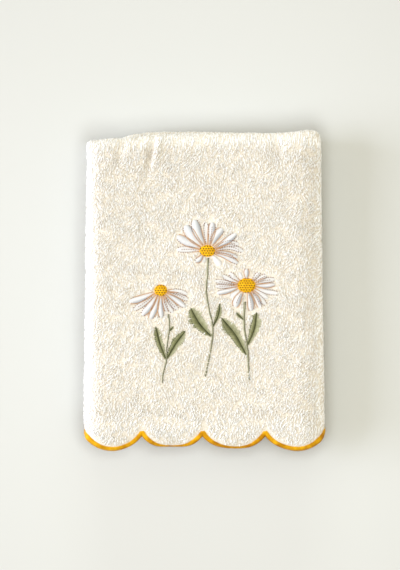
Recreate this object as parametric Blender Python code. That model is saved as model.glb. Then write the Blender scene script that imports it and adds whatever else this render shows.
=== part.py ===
"""A terry hand towel with a scalloped golden edge and three embroidered daisies, folded and lying flat.

The towel is modelled as it is made. Each piece starts as a flat shape in the plane of the cut cloth, where
u runs across the towel, v runs along it from the tips of the scallops, and n is the height above the middle
of the cloth. Then every point is folded: in three across the width, and the strip that this gives back and
forth into four panels. Last, the whole stack settles softly, as cloth does.
The folded towel lies with +Z up, +Y towards its top fold and the scalloped edge towards -Y.
"""

import math

import bmesh
import bpy
from mathutils import Vector

MM = 0.001

# The flat cloth
CLOTH_WIDTH = 500 * MM
PLY = 3.2 * MM  # thickness of the terry with its pile
PLY_PITCH = 3.7 * MM  # from the middle of one ply to the next in the folded strip
PANEL_GAP = 0.5 * MM  # between one panel of the folded strip and the next
BORDER_GAP = 1.0 * MM  # between the terry and its golden edge

# The strip, folded in three, and the panels that it is laid in
STRIP_HALF = PLY_PITCH + PLY / 2
TURN = STRIP_HALF + PANEL_GAP / 2  # radius of the strip's middle in a fold
PANEL_PITCH = 2 * TURN
PANEL_MIDDLES = [STRIP_HALF + PANEL_PITCH * (3 - k) for k in range(4)]  # heights, from the top panel down
STACK_HEIGHT = PANEL_MIDDLES[0] + STRIP_HALF
FIRST_FOLD_Y = 105.75 * MM  # centre of the top fold between panels 1 and 2
LOWER_FOLD_Y = -86.15 * MM  # centre of the fold between panels 2 and 3
SECOND_FOLD_Y = 107.4 * MM  # centre of the fold between panels 3 and 4
LAST_END_Y = -92 * MM  # plain end of panel 4
FLAP_START_Y = -88 * MM  # from here the scalloped end hangs over the stack
FLAP_LENGTH = 33 * MM
FLAP_TURN = math.radians(40)  # how steeply the tips of the scallops hang

FLAP_RADIUS = FLAP_LENGTH / FLAP_TURN
FIRST_FOLD_V = FLAP_LENGTH + FIRST_FOLD_Y - FLAP_START_Y
FOLD_ARC = math.pi * TURN
PANEL_2 = FIRST_FOLD_Y - LOWER_FOLD_Y
PANEL_3 = SECOND_FOLD_Y - LOWER_FOLD_Y
PANEL_4 = SECOND_FOLD_Y - LAST_END_Y
LOWER_FOLD_V = FIRST_FOLD_V + FOLD_ARC + PANEL_2
SECOND_FOLD_V = LOWER_FOLD_V + FOLD_ARC + PANEL_3
CLOTH_LENGTH = SECOND_FOLD_V + FOLD_ARC + PANEL_4

# Half widths of the folded strip along the towel: (v, left, right)
STRIP_SIDES = [
    (0 * MM, 90.7 * MM, 91.1 * MM),
    (35 * MM, 90.5 * MM, 90.2 * MM),
    (80 * MM, 90.0 * MM, 89.4 * MM),
    (140 * MM, 89.6 * MM, 88.6 * MM),
    (226 * MM, 88.6 * MM, 87.4 * MM),
    (330 * MM, 88.2 * MM, 86.4 * MM),
    (430 * MM, 88.9 * MM, 85.8 * MM),
    (560 * MM, 88.4 * MM, 87.2 * MM),
    (680 * MM, 89.2 * MM, 86.4 * MM),
    (CLOTH_LENGTH, 88.6 * MM, 88.0 * MM),
]
LEFT_TURN = PLY_PITCH / 2  # the first flap lies against the front ply
RIGHT_TURN = PLY_PITCH  # the second flap goes round both
LEFT_EDGE = LEFT_TURN + PLY / 2
RIGHT_EDGE = RIGHT_TURN + PLY / 2

# The scalloped edge
SCALLOP_PITCH = CLOTH_WIDTH / 11
SCALLOP_DEPTH = 9.7 * MM
SCALLOP_STEPS = 8
SCALLOP_RADIUS = ((SCALLOP_PITCH / 2) ** 2 + SCALLOP_DEPTH**2) / (2 * SCALLOP_DEPTH)
BORDER_WIDTH = 4.0 * MM
BORDER_THICKNESS = 2.4 * MM
LEAST_STEP = 1.0 * MM  # points of the edge are never closer than this

# Where the cloth has rows and columns of points
FRONT_COLUMNS = [x * MM for x in (-80, -72, -50, -42, -37, -14, 14, 42, 66, 78)]
PANEL_ROWS = [y * MM for y in (-64, -34, -4, 28, 62, 84, 97)]
FLAP_ROWS = [v * MM for v in (11, 19.4, 26)]
TURN_STEPS = 6  # across a side fold
FOLD_STEPS = 7  # along a strip fold

# How the stack settles
SIDE_DROP = 0.15  # share of its height that the stack loses at its two sides
SIDE_LIMIT = 90 * MM
LEFT_ROLL = 14 * MM
RIGHT_ROLL = 17 * MM
SWELL = 0.5 * MM
CREASE_DEPTH = 1.5 * MM
CREASE_WIDTH = 3.4 * MM
CREASE_TOP = Vector((-38 * MM, 116 * MM))
CREASE_FOOT = Vector((-44 * MM, 90 * MM))

# How far the two top folds stand out along the towel's top edge: (x, first fold, second fold)
TOP_EDGE = [
    (-90 * MM, -5.5 * MM, -6.5 * MM),
    (-70 * MM, -4.0 * MM, -5.5 * MM),
    (-52 * MM, -3.6 * MM, -1.0 * MM),
    (-38 * MM, -1.2 * MM, 0.6 * MM),
    (0 * MM, 0.0 * MM, 0.6 * MM),
    (40 * MM, 0.3 * MM, 0.0 * MM),
    (64 * MM, 0.8 * MM, -3.0 * MM),
    (80 * MM, 2.6 * MM, -4.0 * MM),
    (90 * MM, 1.2 * MM, -4.0 * MM),
]

# The embroidery lies on the front, in x and y of the folded towel
STITCH_RISE = 0.45 * MM  # from the pile to the underside of the stitching
STITCH_THICKNESS = 0.9 * MM
DISC_RISE = 0.3 * MM

# Daisies: (name, disc centre x, y, disc radius across, up, petals,
#           first and last petal in degrees, petal reach across, up, down)
DAISIES = [
    ("middle", 2.4, 28.4, 4.9, 4.2, 15, 0, 336, 25.5, 22.0, 12.0),
    ("right", 31.2, 2.5, 6.2, 5.3, 15, 0, 336, 25.0, 14.0, 19.0),
    ("left", -32.8, -1.4, 4.7, 4.4, 9, 200, 352, 24.0, 12.0, 22.5),
]
PETAL_STEPS = 6
PETAL_GAP = 0.42  # reach of the valleys between the petals, as a share of the reach

# Stems: (name, width, list of x, y along the stem from the flower down)
STEMS = [
    ("middle", 1.7, [(2.8, 15.4), (1.8, 8), (1, -1), (3, -15), (5.6, -27), (5.6, -37), (3.4, -51), (0.2, -65)]),
    ("right", 1.8, [(29.2, -17.6), (29.2, -23), (29.6, -31), (31.4, -42.5), (32.2, -52), (33, -68)]),
    ("left", 1.5, [(-26.9, -24.8), (-26.4, -30), (-28.2, -42.5), (-28.6, -53), (-30.8, -62), (-31.8, -70)]),
]

# Leaves: (name, base x, y, tip x, y, width, bow to the left of the way from base to tip)
LEAVES = [
    ("middle_left", 4.0, -34.5, -10.6, -15.0, 8.0, 0.8),
    ("middle_right", 7.4, -27.4, 11.4, -12.0, 2.8, -0.6),
    ("right_left", 30.0, -48.0, 12.6, -22.4, 7.4, -0.8),
    ("right_right", 32.6, -41.0, 39.2, -18.4, 6.2, -0.8),
    ("right_bud", 27.8, -22.4, 23.6, -17.8, 2.2, 0.0),
    ("left_left", -29.9, -51.5, -36.4, -29.0, 4.8, 0.4),
    ("left_right", -26.8, -50.5, -14.2, -31.8, 5.4, 0.4),
    ("left_bud", -25.2, -31.0, -23.2, -28.6, 1.6, 0.0),
]

COLOURS = {
    "terry": ((0.86, 0.81, 0.70, 1), 0.95),
    "gold_thread": ((0.86, 0.46, 0.04, 1), 0.45),
    "petal_thread": ((0.92, 0.91, 0.90, 1), 0.4),
    "disc_thread": ((0.93, 0.55, 0.03, 1), 0.45),
    "stem_thread": ((0.36, 0.42, 0.26, 1), 0.5),
}


def smooth(t):
    """A soft step from 0 to 1."""
    t = min(1.0, max(0.0, t))
    return t * t * (3 - 2 * t)


def along_table(table, where, column):
    """The value in one column of a table of rows, with soft steps between the rows."""
    for low, high in zip(table, table[1:]):
        if where <= high[0]:
            share = smooth((where - low[0]) / (high[0] - low[0]))
            return low[column] + (high[column] - low[column]) * share
    return table[-1][column]


def side_turns(v):
    """Where the front ply ends and its two side folds begin, at v along the towel."""
    left = -along_table(STRIP_SIDES, v, 1) + LEFT_EDGE
    right = along_table(STRIP_SIDES, v, 2) - RIGHT_EDGE
    return left, right


def slide(u, v):
    """Moves a column within the cloth, so that it stays in the side fold where the strip gets narrower."""
    hem_left, hem_right = side_turns(0)
    left, right = side_turns(v)
    table = [
        (-CLOTH_WIDTH / 2, 0.0),
        (hem_left - math.pi * LEFT_TURN, left - hem_left),
        (hem_left, left - hem_left),
        (hem_right, right - hem_right),
        (hem_right + math.pi * RIGHT_TURN, right - hem_right),
        (CLOTH_WIDTH / 2, 0.0),
    ]
    for low, high in zip(table, table[1:]):
        if u <= high[0]:
            share = max(0.0, (u - low[0]) / (high[0] - low[0]))
            return u + low[1] + (high[1] - low[1]) * share
    return u


def fold_across(u, v, n):
    """Folds the cloth in three: x, and the height in the strip, where the front ply is the highest."""
    left, right = side_turns(v)
    if u < left:
        arc = left - u
        if arc < math.pi * LEFT_TURN:
            angle = arc / LEFT_TURN
            return left - (LEFT_TURN + n) * math.sin(angle), LEFT_TURN + (LEFT_TURN + n) * math.cos(angle)
        return left + arc - math.pi * LEFT_TURN, -n
    if u > right:
        arc = u - right
        if arc < math.pi * RIGHT_TURN:
            angle = arc / RIGHT_TURN
            return right + (RIGHT_TURN + n) * math.sin(angle), (RIGHT_TURN + n) * math.cos(angle)
        return right - arc + math.pi * RIGHT_TURN, -PLY_PITCH - n
    return u, PLY_PITCH + n


def fold_along(v, height):
    """Lays the strip back and forth in four panels: y and z of a point at v, at a height in the strip."""
    if v < FLAP_LENGTH:
        angle = (FLAP_LENGTH - v) / FLAP_RADIUS
        y = FLAP_START_Y - (FLAP_RADIUS + height) * math.sin(angle)
        return y, PANEL_MIDDLES[0] + height - (FLAP_RADIUS + height) * (1 - math.cos(angle))
    if v < FIRST_FOLD_V:
        return FLAP_START_Y + v - FLAP_LENGTH, PANEL_MIDDLES[0] + height
    if v < FIRST_FOLD_V + FOLD_ARC:
        angle = (v - FIRST_FOLD_V) / TURN
        radius = TURN + height
        return FIRST_FOLD_Y + radius * math.sin(angle), PANEL_MIDDLES[0] - TURN + radius * math.cos(angle)
    if v < LOWER_FOLD_V:
        return FIRST_FOLD_Y - (v - FIRST_FOLD_V - FOLD_ARC), PANEL_MIDDLES[1] - height
    if v < LOWER_FOLD_V + FOLD_ARC:
        angle = (v - LOWER_FOLD_V) / TURN
        radius = TURN - height
        return LOWER_FOLD_Y - radius * math.sin(angle), PANEL_MIDDLES[1] - TURN + radius * math.cos(angle)
    if v < SECOND_FOLD_V:
        return LOWER_FOLD_Y + v - LOWER_FOLD_V - FOLD_ARC, PANEL_MIDDLES[2] + height
    if v < SECOND_FOLD_V + FOLD_ARC:
        angle = (v - SECOND_FOLD_V) / TURN
        radius = TURN + height
        return SECOND_FOLD_Y + radius * math.sin(angle), PANEL_MIDDLES[2] - TURN + radius * math.cos(angle)
    return SECOND_FOLD_Y - (v - SECOND_FOLD_V - FOLD_ARC), PANEL_MIDDLES[3] - height


def settle(x, y, z):
    """The soft shape of the whole stack: rolled sides, an uneven top edge, a slight swell and one crease."""
    share = z / STACK_HEIGHT
    first = along_table(TOP_EDGE, x, 1)
    second = along_table(TOP_EDGE, x, 2)
    upper = smooth((share - 0.38) / 0.24)
    y += (second + (first - second) * upper) * smooth((y - 20 * MM) / (90 * MM))
    roll = LEFT_ROLL if x < 0 else RIGHT_ROLL
    into = min(1.0, max(0.0, (abs(x) - SIDE_LIMIT + roll) / roll))
    swell = SWELL * math.sin(x / (21 * MM) + 0.7) * math.sin(y / (27 * MM) + 0.4)
    along = min(1.0, max(0.0, (CREASE_TOP.y - y) / (CREASE_TOP.y - CREASE_FOOT.y)))
    across = x - (CREASE_TOP.x + (CREASE_FOOT.x - CREASE_TOP.x) * along)
    crease = CREASE_DEPTH * (1 - smooth(along)) * math.exp(-((across / CREASE_WIDTH) ** 2))
    z *= 1 - SIDE_DROP * into * into
    return Vector((x, y, z + swell * share - crease * share**4))


def place(u, v, n):
    """A point of the folded towel from its place in the flat cloth."""
    x, height = fold_across(u, v, n)
    y, z = fold_along(v, height)
    return settle(x, y, z)


def edge_line(u, inset):
    """v of the scalloped line that lies inset from the tips, at u across the cloth."""
    from_tip = (u + SCALLOP_PITCH / 2) % SCALLOP_PITCH
    from_tip = min(from_tip, SCALLOP_PITCH - from_tip)
    off_middle = SCALLOP_PITCH / 2 - from_tip if from_tip < SCALLOP_PITCH / 2 else 0.0
    beside = SCALLOP_PITCH / 2 - off_middle
    radius = SCALLOP_RADIUS - inset
    return SCALLOP_RADIUS - math.sqrt(radius**2 - beside**2)


def flat_columns():
    """u of the cloth's columns: the same x on the front and on both flaps, and the turns of the side folds."""
    left, right = side_turns(0)
    back_left = left - math.pi * LEFT_TURN
    back_right = right + math.pi * RIGHT_TURN
    found = list(FRONT_COLUMNS)
    found += [back_left - (x - left) for x in FRONT_COLUMNS]
    found += [back_right + (right - x) for x in FRONT_COLUMNS]
    found += [left - math.pi * LEFT_TURN * k / TURN_STEPS for k in range(TURN_STEPS + 1)]
    found += [right + math.pi * RIGHT_TURN * k / TURN_STEPS for k in range(TURN_STEPS + 1)]
    margin = CLOTH_WIDTH / 2 - 2 * LEAST_STEP
    cusps = scallop_cusps()
    kept = []
    for u in sorted(found):
        near = [cusp for cusp in cusps if abs(cusp - u) < LEAST_STEP * 0.45]
        if abs(u) < margin and (not kept or u - kept[-1] > LEAST_STEP * 0.5):
            kept.append(near[0] if near else u)
    return kept


def scallop_cusps():
    """u of the points where two scallops meet."""
    return [k * SCALLOP_PITCH for k in range(-5, 6)]


def edge_points(columns):
    """u of every point along the scalloped edge, from side to side."""
    kept = list(columns) + [-CLOTH_WIDTH / 2, CLOTH_WIDTH / 2]
    wanted = scallop_cusps()
    for cusp in wanted[:]:
        half = math.asin(SCALLOP_PITCH / 2 / SCALLOP_RADIUS)
        middle = cusp + SCALLOP_PITCH / 2
        for k in range(1, SCALLOP_STEPS):
            wanted.append(middle + SCALLOP_RADIUS * math.sin(half * (2 * k / SCALLOP_STEPS - 1)))
    half_scallop = [-middle for middle in wanted if middle > 4.5 * SCALLOP_PITCH]
    for u in wanted + half_scallop:
        if abs(u) < CLOTH_WIDTH / 2 and min(abs(u - other) for other in kept) > LEAST_STEP:
            kept.append(u)
        elif u in scallop_cusps() and u not in kept:
            kept.append(u)
    return sorted(kept)


def flat_rows():
    """v of the cloth's rows: the hanging end, the same y on each panel, and the turns of the strip folds."""
    found = list(FLAP_ROWS) + [FLAP_LENGTH]
    for y in PANEL_ROWS:
        found.append(FLAP_LENGTH + y - FLAP_START_Y)
        found.append(FIRST_FOLD_V + FOLD_ARC + FIRST_FOLD_Y - y)
        found.append(LOWER_FOLD_V + FOLD_ARC + y - LOWER_FOLD_Y)
        found.append(SECOND_FOLD_V + FOLD_ARC + SECOND_FOLD_Y - y)
    for start in (FIRST_FOLD_V, LOWER_FOLD_V, SECOND_FOLD_V):
        found += [start + FOLD_ARC * k / FOLD_STEPS for k in range(FOLD_STEPS + 1)]
    return sorted(found)


def flat_shape(outline):
    """A flat face with that outline, in the plane of the cloth."""
    mesh = bmesh.new()
    mesh.faces.new([mesh.verts.new((u, v, 0)) for u, v in outline])
    return mesh


def cut_lines(mesh, places, normal):
    """Cuts the flat shape along straight lines, so that it can bend there."""
    for place_on_axis in places:
        bmesh.ops.bisect_plane(
            mesh,
            geom=mesh.verts[:] + mesh.edges[:] + mesh.faces[:],
            dist=1e-6,
            plane_co=normal * place_on_axis,
            plane_no=normal,
        )


def thicken(mesh, low, high):
    """Turns the flat shape into a closed one between two heights."""
    for vertex in mesh.verts:
        vertex.co.z = low
    made = bmesh.ops.extrude_face_region(mesh, geom=mesh.faces[:], use_keep_orig=True)
    for item in made["geom"]:
        if isinstance(item, bmesh.types.BMVert):
            item.co.z = high
    many_sided = [face for face in mesh.faces if len(face.verts) > 4]
    bmesh.ops.triangulate(mesh, faces=many_sided)
    bmesh.ops.recalc_face_normals(mesh, faces=mesh.faces[:])


def finish(mesh, name, finish_name):
    """Makes the object, shaded smooth, with its colour."""
    data = bpy.data.meshes.new(name)
    mesh.to_mesh(data)
    mesh.free()
    data.shade_smooth()
    data.set_sharp_from_angle(angle=math.radians(50))
    made = bpy.data.objects.new(name, data)
    data.materials.append(colour(finish_name))
    bpy.context.scene.collection.objects.link(made)
    return made


def colour(name):
    """The material of that name, made once."""
    found = bpy.data.materials.get(name)
    if found:
        return found
    base, roughness = COLOURS[name]
    made = bpy.data.materials.new(name)
    made.use_nodes = True
    shader = made.node_tree.nodes["Principled BSDF"]
    shader.inputs["Base Color"].default_value = base
    shader.inputs["Roughness"].default_value = roughness
    shader.inputs["Metallic"].default_value = 0
    return made


def fold_all(mesh, sliding=True):
    """Folds every point of a shape that is still flat."""
    for vertex in mesh.verts:
        u, v, n = vertex.co
        vertex.co = place(slide(u, v) if sliding else u, v, n)


def make_cloth(columns, edge):
    """The terry sheet: a scalloped end on the front and a plain one under the stack."""
    inset = BORDER_WIDTH + BORDER_GAP
    outline = [(u, edge_line(u, inset)) for u in edge]
    outline += [(CLOTH_WIDTH / 2, CLOTH_LENGTH), (-CLOTH_WIDTH / 2, CLOTH_LENGTH)]
    mesh = flat_shape(outline)
    cut_lines(mesh, flat_rows(), Vector((0, 1, 0)))
    cut_lines(mesh, columns, Vector((1, 0, 0)))
    thicken(mesh, -PLY / 2, PLY / 2)
    fold_all(mesh)
    return finish(mesh, "towel_cloth", "terry")


def make_border(edge):
    """The stitched golden edge, which follows the scallops round both side folds."""
    mesh = bmesh.new()
    outer = [mesh.verts.new((u, edge_line(u, 0), 0)) for u in edge]
    inner = [mesh.verts.new((u, edge_line(u, BORDER_WIDTH), 0)) for u in edge]
    for k in range(len(edge) - 1):
        mesh.faces.new((outer[k], outer[k + 1], inner[k + 1], inner[k]))
    thicken(mesh, -BORDER_THICKNESS / 2, BORDER_THICKNESS / 2)
    fold_all(mesh)
    return finish(mesh, "scallop_border", "gold_thread")


def front_place(x, y):
    """u and v on the front ply of a place on the folded towel's front."""
    return x * MM, FLAP_LENGTH + y * MM - FLAP_START_Y


def make_patch(name, outline, finish_name, rise=STITCH_RISE, thickness=STITCH_THICKNESS):
    """A patch of stitching with that outline in millimetres, raised from the front of the towel."""
    low = PLY / 2 + rise
    mesh = flat_shape([front_place(x, y) for x, y in outline])
    thicken(mesh, low, low + thickness)
    fold_all(mesh, sliding=False)
    return finish(mesh, name, finish_name)


def petal_outline(x, y, disc, count, first, last, across, up, down):
    """A daisy seen at a slant: lobes round the disc, as long as an ellipse allows, and its disc elsewhere."""
    spread = (last - first) / (count - 1)
    found = []
    steps = round(360 / spread * PETAL_STEPS)
    for k in range(steps):
        angle = first + 360 * k / steps
        turn = math.radians(angle)
        height = up if math.sin(turn) > 0 else down
        reach = across * height / math.hypot(height * math.cos(turn), across * math.sin(turn))
        in_fan = first - spread / 2 <= angle <= last + spread / 2
        lobe = abs(math.cos(math.pi * (angle - first) / spread)) ** 0.7
        radius = reach * (PETAL_GAP + (1 - PETAL_GAP) * lobe) if in_fan else disc
        found.append((x + radius * math.cos(turn), y + radius * math.sin(turn)))
    return found


def disc_outline(x, y, across, up):
    """The round middle of a daisy."""
    turns = [math.tau * k / 16 for k in range(16)]
    return [(x + across * math.cos(t), y + up * math.sin(t)) for t in turns]


def stem_outline(width, route):
    """A narrow band along a stem, tapered at its foot."""
    left, right = [], []
    for k, (x, y) in enumerate(route):
        ahead = route[min(k + 1, len(route) - 1)]
        behind = route[max(k - 1, 0)]
        dx, dy = ahead[0] - behind[0], ahead[1] - behind[1]
        size = math.hypot(dx, dy)
        half = width / 2 * (1 - 0.6 * (k / (len(route) - 1)) ** 3)
        left.append((x - dy / size * half, y + dx / size * half))
        right.append((x + dy / size * half, y - dx / size * half))
    return left + right[::-1]


def leaf_outline(base, tip, width, bow):
    """A leaf: two curved sides that meet at its base and its tip."""
    dx, dy = tip[0] - base[0], tip[1] - base[1]
    size = math.hypot(dx, dy)
    steps = 7
    sides = []
    for side in (1, -1):
        line = []
        for k in range(steps + 1):
            t = k / steps
            off = bow * math.sin(math.pi * t) + side * width / 2 * math.sin(math.pi * t**0.85) ** 0.8
            line.append((base[0] + dx * t - dy / size * off, base[1] + dy * t + dx / size * off))
        sides.append(line)
    return sides[0] + sides[1][-2:0:-1]


def make_embroidery():
    """The three daisies on the front."""
    for name, x, y, disc_across, disc_up, count, first, last, across, up, down in DAISIES:
        petals = petal_outline(x, y, disc_up * 0.8, count, first, last, across, up, down)
        make_patch(f"petals_{name}", petals, "petal_thread")
        rise = STITCH_RISE + STITCH_THICKNESS + DISC_RISE
        make_patch(f"disc_{name}", disc_outline(x, y, disc_across, disc_up), "disc_thread", rise)
    for name, width, route in STEMS:
        make_patch(f"stem_{name}", stem_outline(width, route), "stem_thread")
    for name, base_x, base_y, tip_x, tip_y, width, bow in LEAVES:
        outline = leaf_outline((base_x, base_y), (tip_x, tip_y), width, bow)
        make_patch(f"leaf_{name}", outline, "stem_thread")


def centre_on_origin():
    """Moves the points so that the middle of the underside is the origin."""
    pieces = [made for made in bpy.context.scene.objects if made.type == "MESH"]
    points = [vertex.co for made in pieces for vertex in made.data.vertices]
    middle = Vector(
        (
            (min(p.x for p in points) + max(p.x for p in points)) / 2,
            (min(p.y for p in points) + max(p.y for p in points)) / 2,
            0,
        )
    )
    for made in pieces:
        for vertex in made.data.vertices:
            vertex.co -= middle
    print("flat cloth", CLOTH_WIDTH, CLOTH_LENGTH, "middle", middle)


def main():
    for old in list(bpy.data.objects):
        bpy.data.objects.remove(old)
    columns = flat_columns()
    edge = edge_points(columns)
    make_cloth(columns, edge)
    make_border(edge)
    make_embroidery()
    centre_on_origin()


main()
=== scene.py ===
# %% [markdown]
# # A folded terry hand towel
#
# The towel is cream cotton terry with a golden stitched edge and three embroidered daisies. The packed
# model is already a folded towel, but a plain one. This script dresses it: a sheet with its loops, an edge
# of thread, and flowers that are made stitch by stitch. It begins with the model, which is the fixed frame
# for everything.

# %% Load the frame
import math

import bmesh
import bpy
import numpy as np
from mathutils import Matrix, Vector


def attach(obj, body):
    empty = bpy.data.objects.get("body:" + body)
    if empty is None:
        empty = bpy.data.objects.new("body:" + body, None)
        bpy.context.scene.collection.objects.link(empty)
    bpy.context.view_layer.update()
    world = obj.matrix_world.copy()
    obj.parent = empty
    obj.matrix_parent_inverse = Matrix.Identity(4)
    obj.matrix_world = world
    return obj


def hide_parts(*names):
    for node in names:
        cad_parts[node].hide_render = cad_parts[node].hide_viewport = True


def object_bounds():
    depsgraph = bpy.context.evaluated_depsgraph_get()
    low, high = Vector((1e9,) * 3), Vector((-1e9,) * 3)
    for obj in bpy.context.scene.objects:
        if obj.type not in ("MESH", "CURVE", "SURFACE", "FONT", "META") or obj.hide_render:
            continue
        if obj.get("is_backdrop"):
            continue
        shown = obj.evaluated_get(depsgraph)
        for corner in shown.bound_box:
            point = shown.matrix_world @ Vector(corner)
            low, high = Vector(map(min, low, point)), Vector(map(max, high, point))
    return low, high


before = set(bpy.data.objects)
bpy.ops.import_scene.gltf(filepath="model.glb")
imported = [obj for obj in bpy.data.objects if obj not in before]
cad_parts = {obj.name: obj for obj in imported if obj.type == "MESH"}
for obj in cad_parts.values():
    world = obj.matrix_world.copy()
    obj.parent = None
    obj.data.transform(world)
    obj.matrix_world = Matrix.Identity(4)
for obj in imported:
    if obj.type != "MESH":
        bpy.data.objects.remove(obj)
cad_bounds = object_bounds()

MM = 0.001
print("box of the model", cad_bounds)

# %% [markdown]
# A towel is flat before it is folded, and everything on it is made flat too. So each piece here starts in
# the plane of the cloth: u runs across it, v runs along it from the tips of the scallops, and n is the
# height above the middle of the cloth. These are the sizes of the folds, which are the same as the model's.

# %% Sizes of the folded cloth
CLOTH_WIDTH = 500 * MM
PLY = 3.2 * MM  # thickness of the terry with its pile
PLY_PITCH = 3.7 * MM  # from the middle of one ply to the next in the folded strip
PANEL_GAP = 0.5 * MM
STRIP_HALF = PLY_PITCH + PLY / 2
TURN = STRIP_HALF + PANEL_GAP / 2  # radius of the strip's middle in a fold
PANEL_MIDDLES = [STRIP_HALF + 2 * TURN * (3 - k) for k in range(4)]
STACK_HEIGHT = PANEL_MIDDLES[0] + STRIP_HALF
FIRST_FOLD_Y = 105.75 * MM  # centre of the top fold between panels 1 and 2
LOWER_FOLD_Y = -86.15 * MM  # centre of the fold between panels 2 and 3
SECOND_FOLD_Y = 107.4 * MM  # centre of the fold between panels 3 and 4
LAST_END_Y = -92 * MM  # plain end of panel 4
FLAP_START_Y = -88 * MM  # from here the scalloped end hangs over the stack
FLAP_LENGTH = 33 * MM
FLAP_TURN = math.radians(40)
FLAP_RADIUS = FLAP_LENGTH / FLAP_TURN
FOLD_ARC = math.pi * TURN
FIRST_FOLD_V = FLAP_LENGTH + FIRST_FOLD_Y - FLAP_START_Y
LOWER_FOLD_V = FIRST_FOLD_V + FOLD_ARC + FIRST_FOLD_Y - LOWER_FOLD_Y
SECOND_FOLD_V = LOWER_FOLD_V + FOLD_ARC + SECOND_FOLD_Y - LOWER_FOLD_Y
CLOTH_LENGTH = SECOND_FOLD_V + FOLD_ARC + SECOND_FOLD_Y - LAST_END_Y
LEFT_TURN = PLY_PITCH / 2
RIGHT_TURN = PLY_PITCH
LEFT_EDGE = LEFT_TURN + PLY / 2
RIGHT_EDGE = RIGHT_TURN + PLY / 2
MIDDLE = Vector((0, -1.4 * MM, 0))  # the model was moved by this much to centre it
print("flat cloth", CLOTH_WIDTH, "by", round(CLOTH_LENGTH, 4))

# Half widths of the folded strip along the towel: v, left, right
STRIP_SIDES = MM * np.array(
    [(0, 90.7, 91.1), (35, 90.5, 90.2), (80, 90.0, 89.4), (140, 89.6, 88.6), (226, 88.6, 87.4)]
    + [(330, 88.2, 86.4), (430, 88.9, 85.8), (560, 88.4, 87.2), (680, 89.2, 86.4)]
    + [(CLOTH_LENGTH / MM, 88.6, 88.0)]
)

# How far the two top folds stand out along the top edge: x, upper fold, lower fold
TOP_EDGE = MM * np.array(
    [(-90, -5.5, -6.5), (-70, -4.0, -5.5), (-52, -3.6, -1.0), (-38, -1.2, 0.6), (0, 0.0, 0.6)]
    + [(40, 0.3, 0.0), (64, 0.8, -3.0), (80, 2.6, -4.0), (90, 1.2, -4.0)]
)

# How the front hem wanders: x, shift to the right, shift upwards
HEM_SHIFT = MM * np.array(
    [(-92, 0, -0.3), (-69, -0.75, -1.3), (-46, -1.5, 0), (-1, -1.7, 0)]
    + [(24, 0.6, -0.5), (45, -0.2, 0), (69, 1.2, -1.2), (92, 0, -0.3)]
)

# How far the tips of the scallops curl down: u in metres, curl in radians
HEM_CURL = np.array(
    [(-0.25, 0.1), (-0.068, 0.15), (-0.045, 0.30), (-0.023, 0.95), (0.0, 0.40)]
    + [(0.023, 0.60), (0.045, 0.25), (0.068, 0.10), (0.25, 0.1)]
)
CURL_LENGTH = 9 * MM

# The sides roll down over these widths, each up to a little beyond the edge of the front
SIDE_LIMIT = 90 * MM
LEFT_ROLL, RIGHT_ROLL = 14.5 * MM, 22 * MM
SIDE_DROP = 0.17  # share of its height that the outermost cloth sinks by
SWELL = 0.5 * MM  # slow unevenness of the front

# Creases below the top fold: x at the top, drift on the way down, depth, half width, y of the lower end
CREASES = MM * np.array([(-38, -7, 3.2, 2.4, 76), (-61, -6, 1.5, 3.2, 84), (53, 4, 1.1, 3.4, 90)])
CREASE_TOP = 116 * MM

# %% [markdown]
# ## Folding
# Folding is a movement of points, so it is written once, as functions of numpy arrays, and used for every
# piece. A cloth simulation could fold the sheet too, but the stitches and loops would have to follow it,
# and it can't be steered to the photographed folds. First the cloth is folded in three across. Each side
# fold is half a circle, and where the strip gets narrower its columns slide along.

# %% Fold in three across
def smooth(t):
    t = np.clip(t, 0, 1)
    return t * t * (3 - 2 * t)


def soft_table(table, where, column):
    """The value in a column of the table, with soft steps between its rows."""
    row = np.clip(np.searchsorted(table[:, 0], where) - 1, 0, len(table) - 2)
    share = smooth((where - table[row, 0]) / (table[row + 1, 0] - table[row, 0]))
    return table[row, column] + (table[row + 1, column] - table[row, column]) * share


def side_turns(v):
    return LEFT_EDGE - soft_table(STRIP_SIDES, v, 1), soft_table(STRIP_SIDES, v, 2) - RIGHT_EDGE


def slide(u, v):
    """Keeps a column in the side fold where the strip gets narrower."""
    hem_left, hem_right = side_turns(np.zeros(1))
    left, right = side_turns(v)
    places = [
        -CLOTH_WIDTH / 2,
        hem_left[0] - math.pi * LEFT_TURN,
        hem_left[0],
        hem_right[0],
        hem_right[0] + math.pi * RIGHT_TURN,
        CLOTH_WIDTH / 2,
    ]
    to_left = np.interp(u, places, [0, 1, 1, 0, 0, 0])
    to_right = np.interp(u, places, [0, 0, 0, 1, 1, 0])
    return u + to_left * (left - hem_left[0]) + to_right * (right - hem_right[0])


def fold_across(u, v, n):
    left, right = side_turns(v)
    left_angle = np.clip((left - u) / LEFT_TURN, 0, math.pi)
    right_angle = np.clip((u - right) / RIGHT_TURN, 0, math.pi)
    left_rest = np.maximum(left - u - math.pi * LEFT_TURN, 0)
    right_rest = np.maximum(u - right - math.pi * RIGHT_TURN, 0)
    on_left, on_right = u < left, u > right
    x = np.where(on_left, left - (LEFT_TURN + n) * np.sin(left_angle) + left_rest, u)
    x = np.where(on_right, right + (RIGHT_TURN + n) * np.sin(right_angle) - right_rest, x)
    height = np.where(on_left, LEFT_TURN + (LEFT_TURN + n) * np.cos(left_angle), PLY_PITCH + n)
    height = np.where(on_right, (RIGHT_TURN + n) * np.cos(right_angle), height)
    return x, height


print("half widths of the strip at its front end", *STRIP_SIDES[0, 1:])

# %% [markdown]
# The strip is then laid back and forth in four panels, with half a circle at each turn. The front end bends
# down over the stack, and the tips of its scallops curl a little more, each by its own amount.

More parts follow.
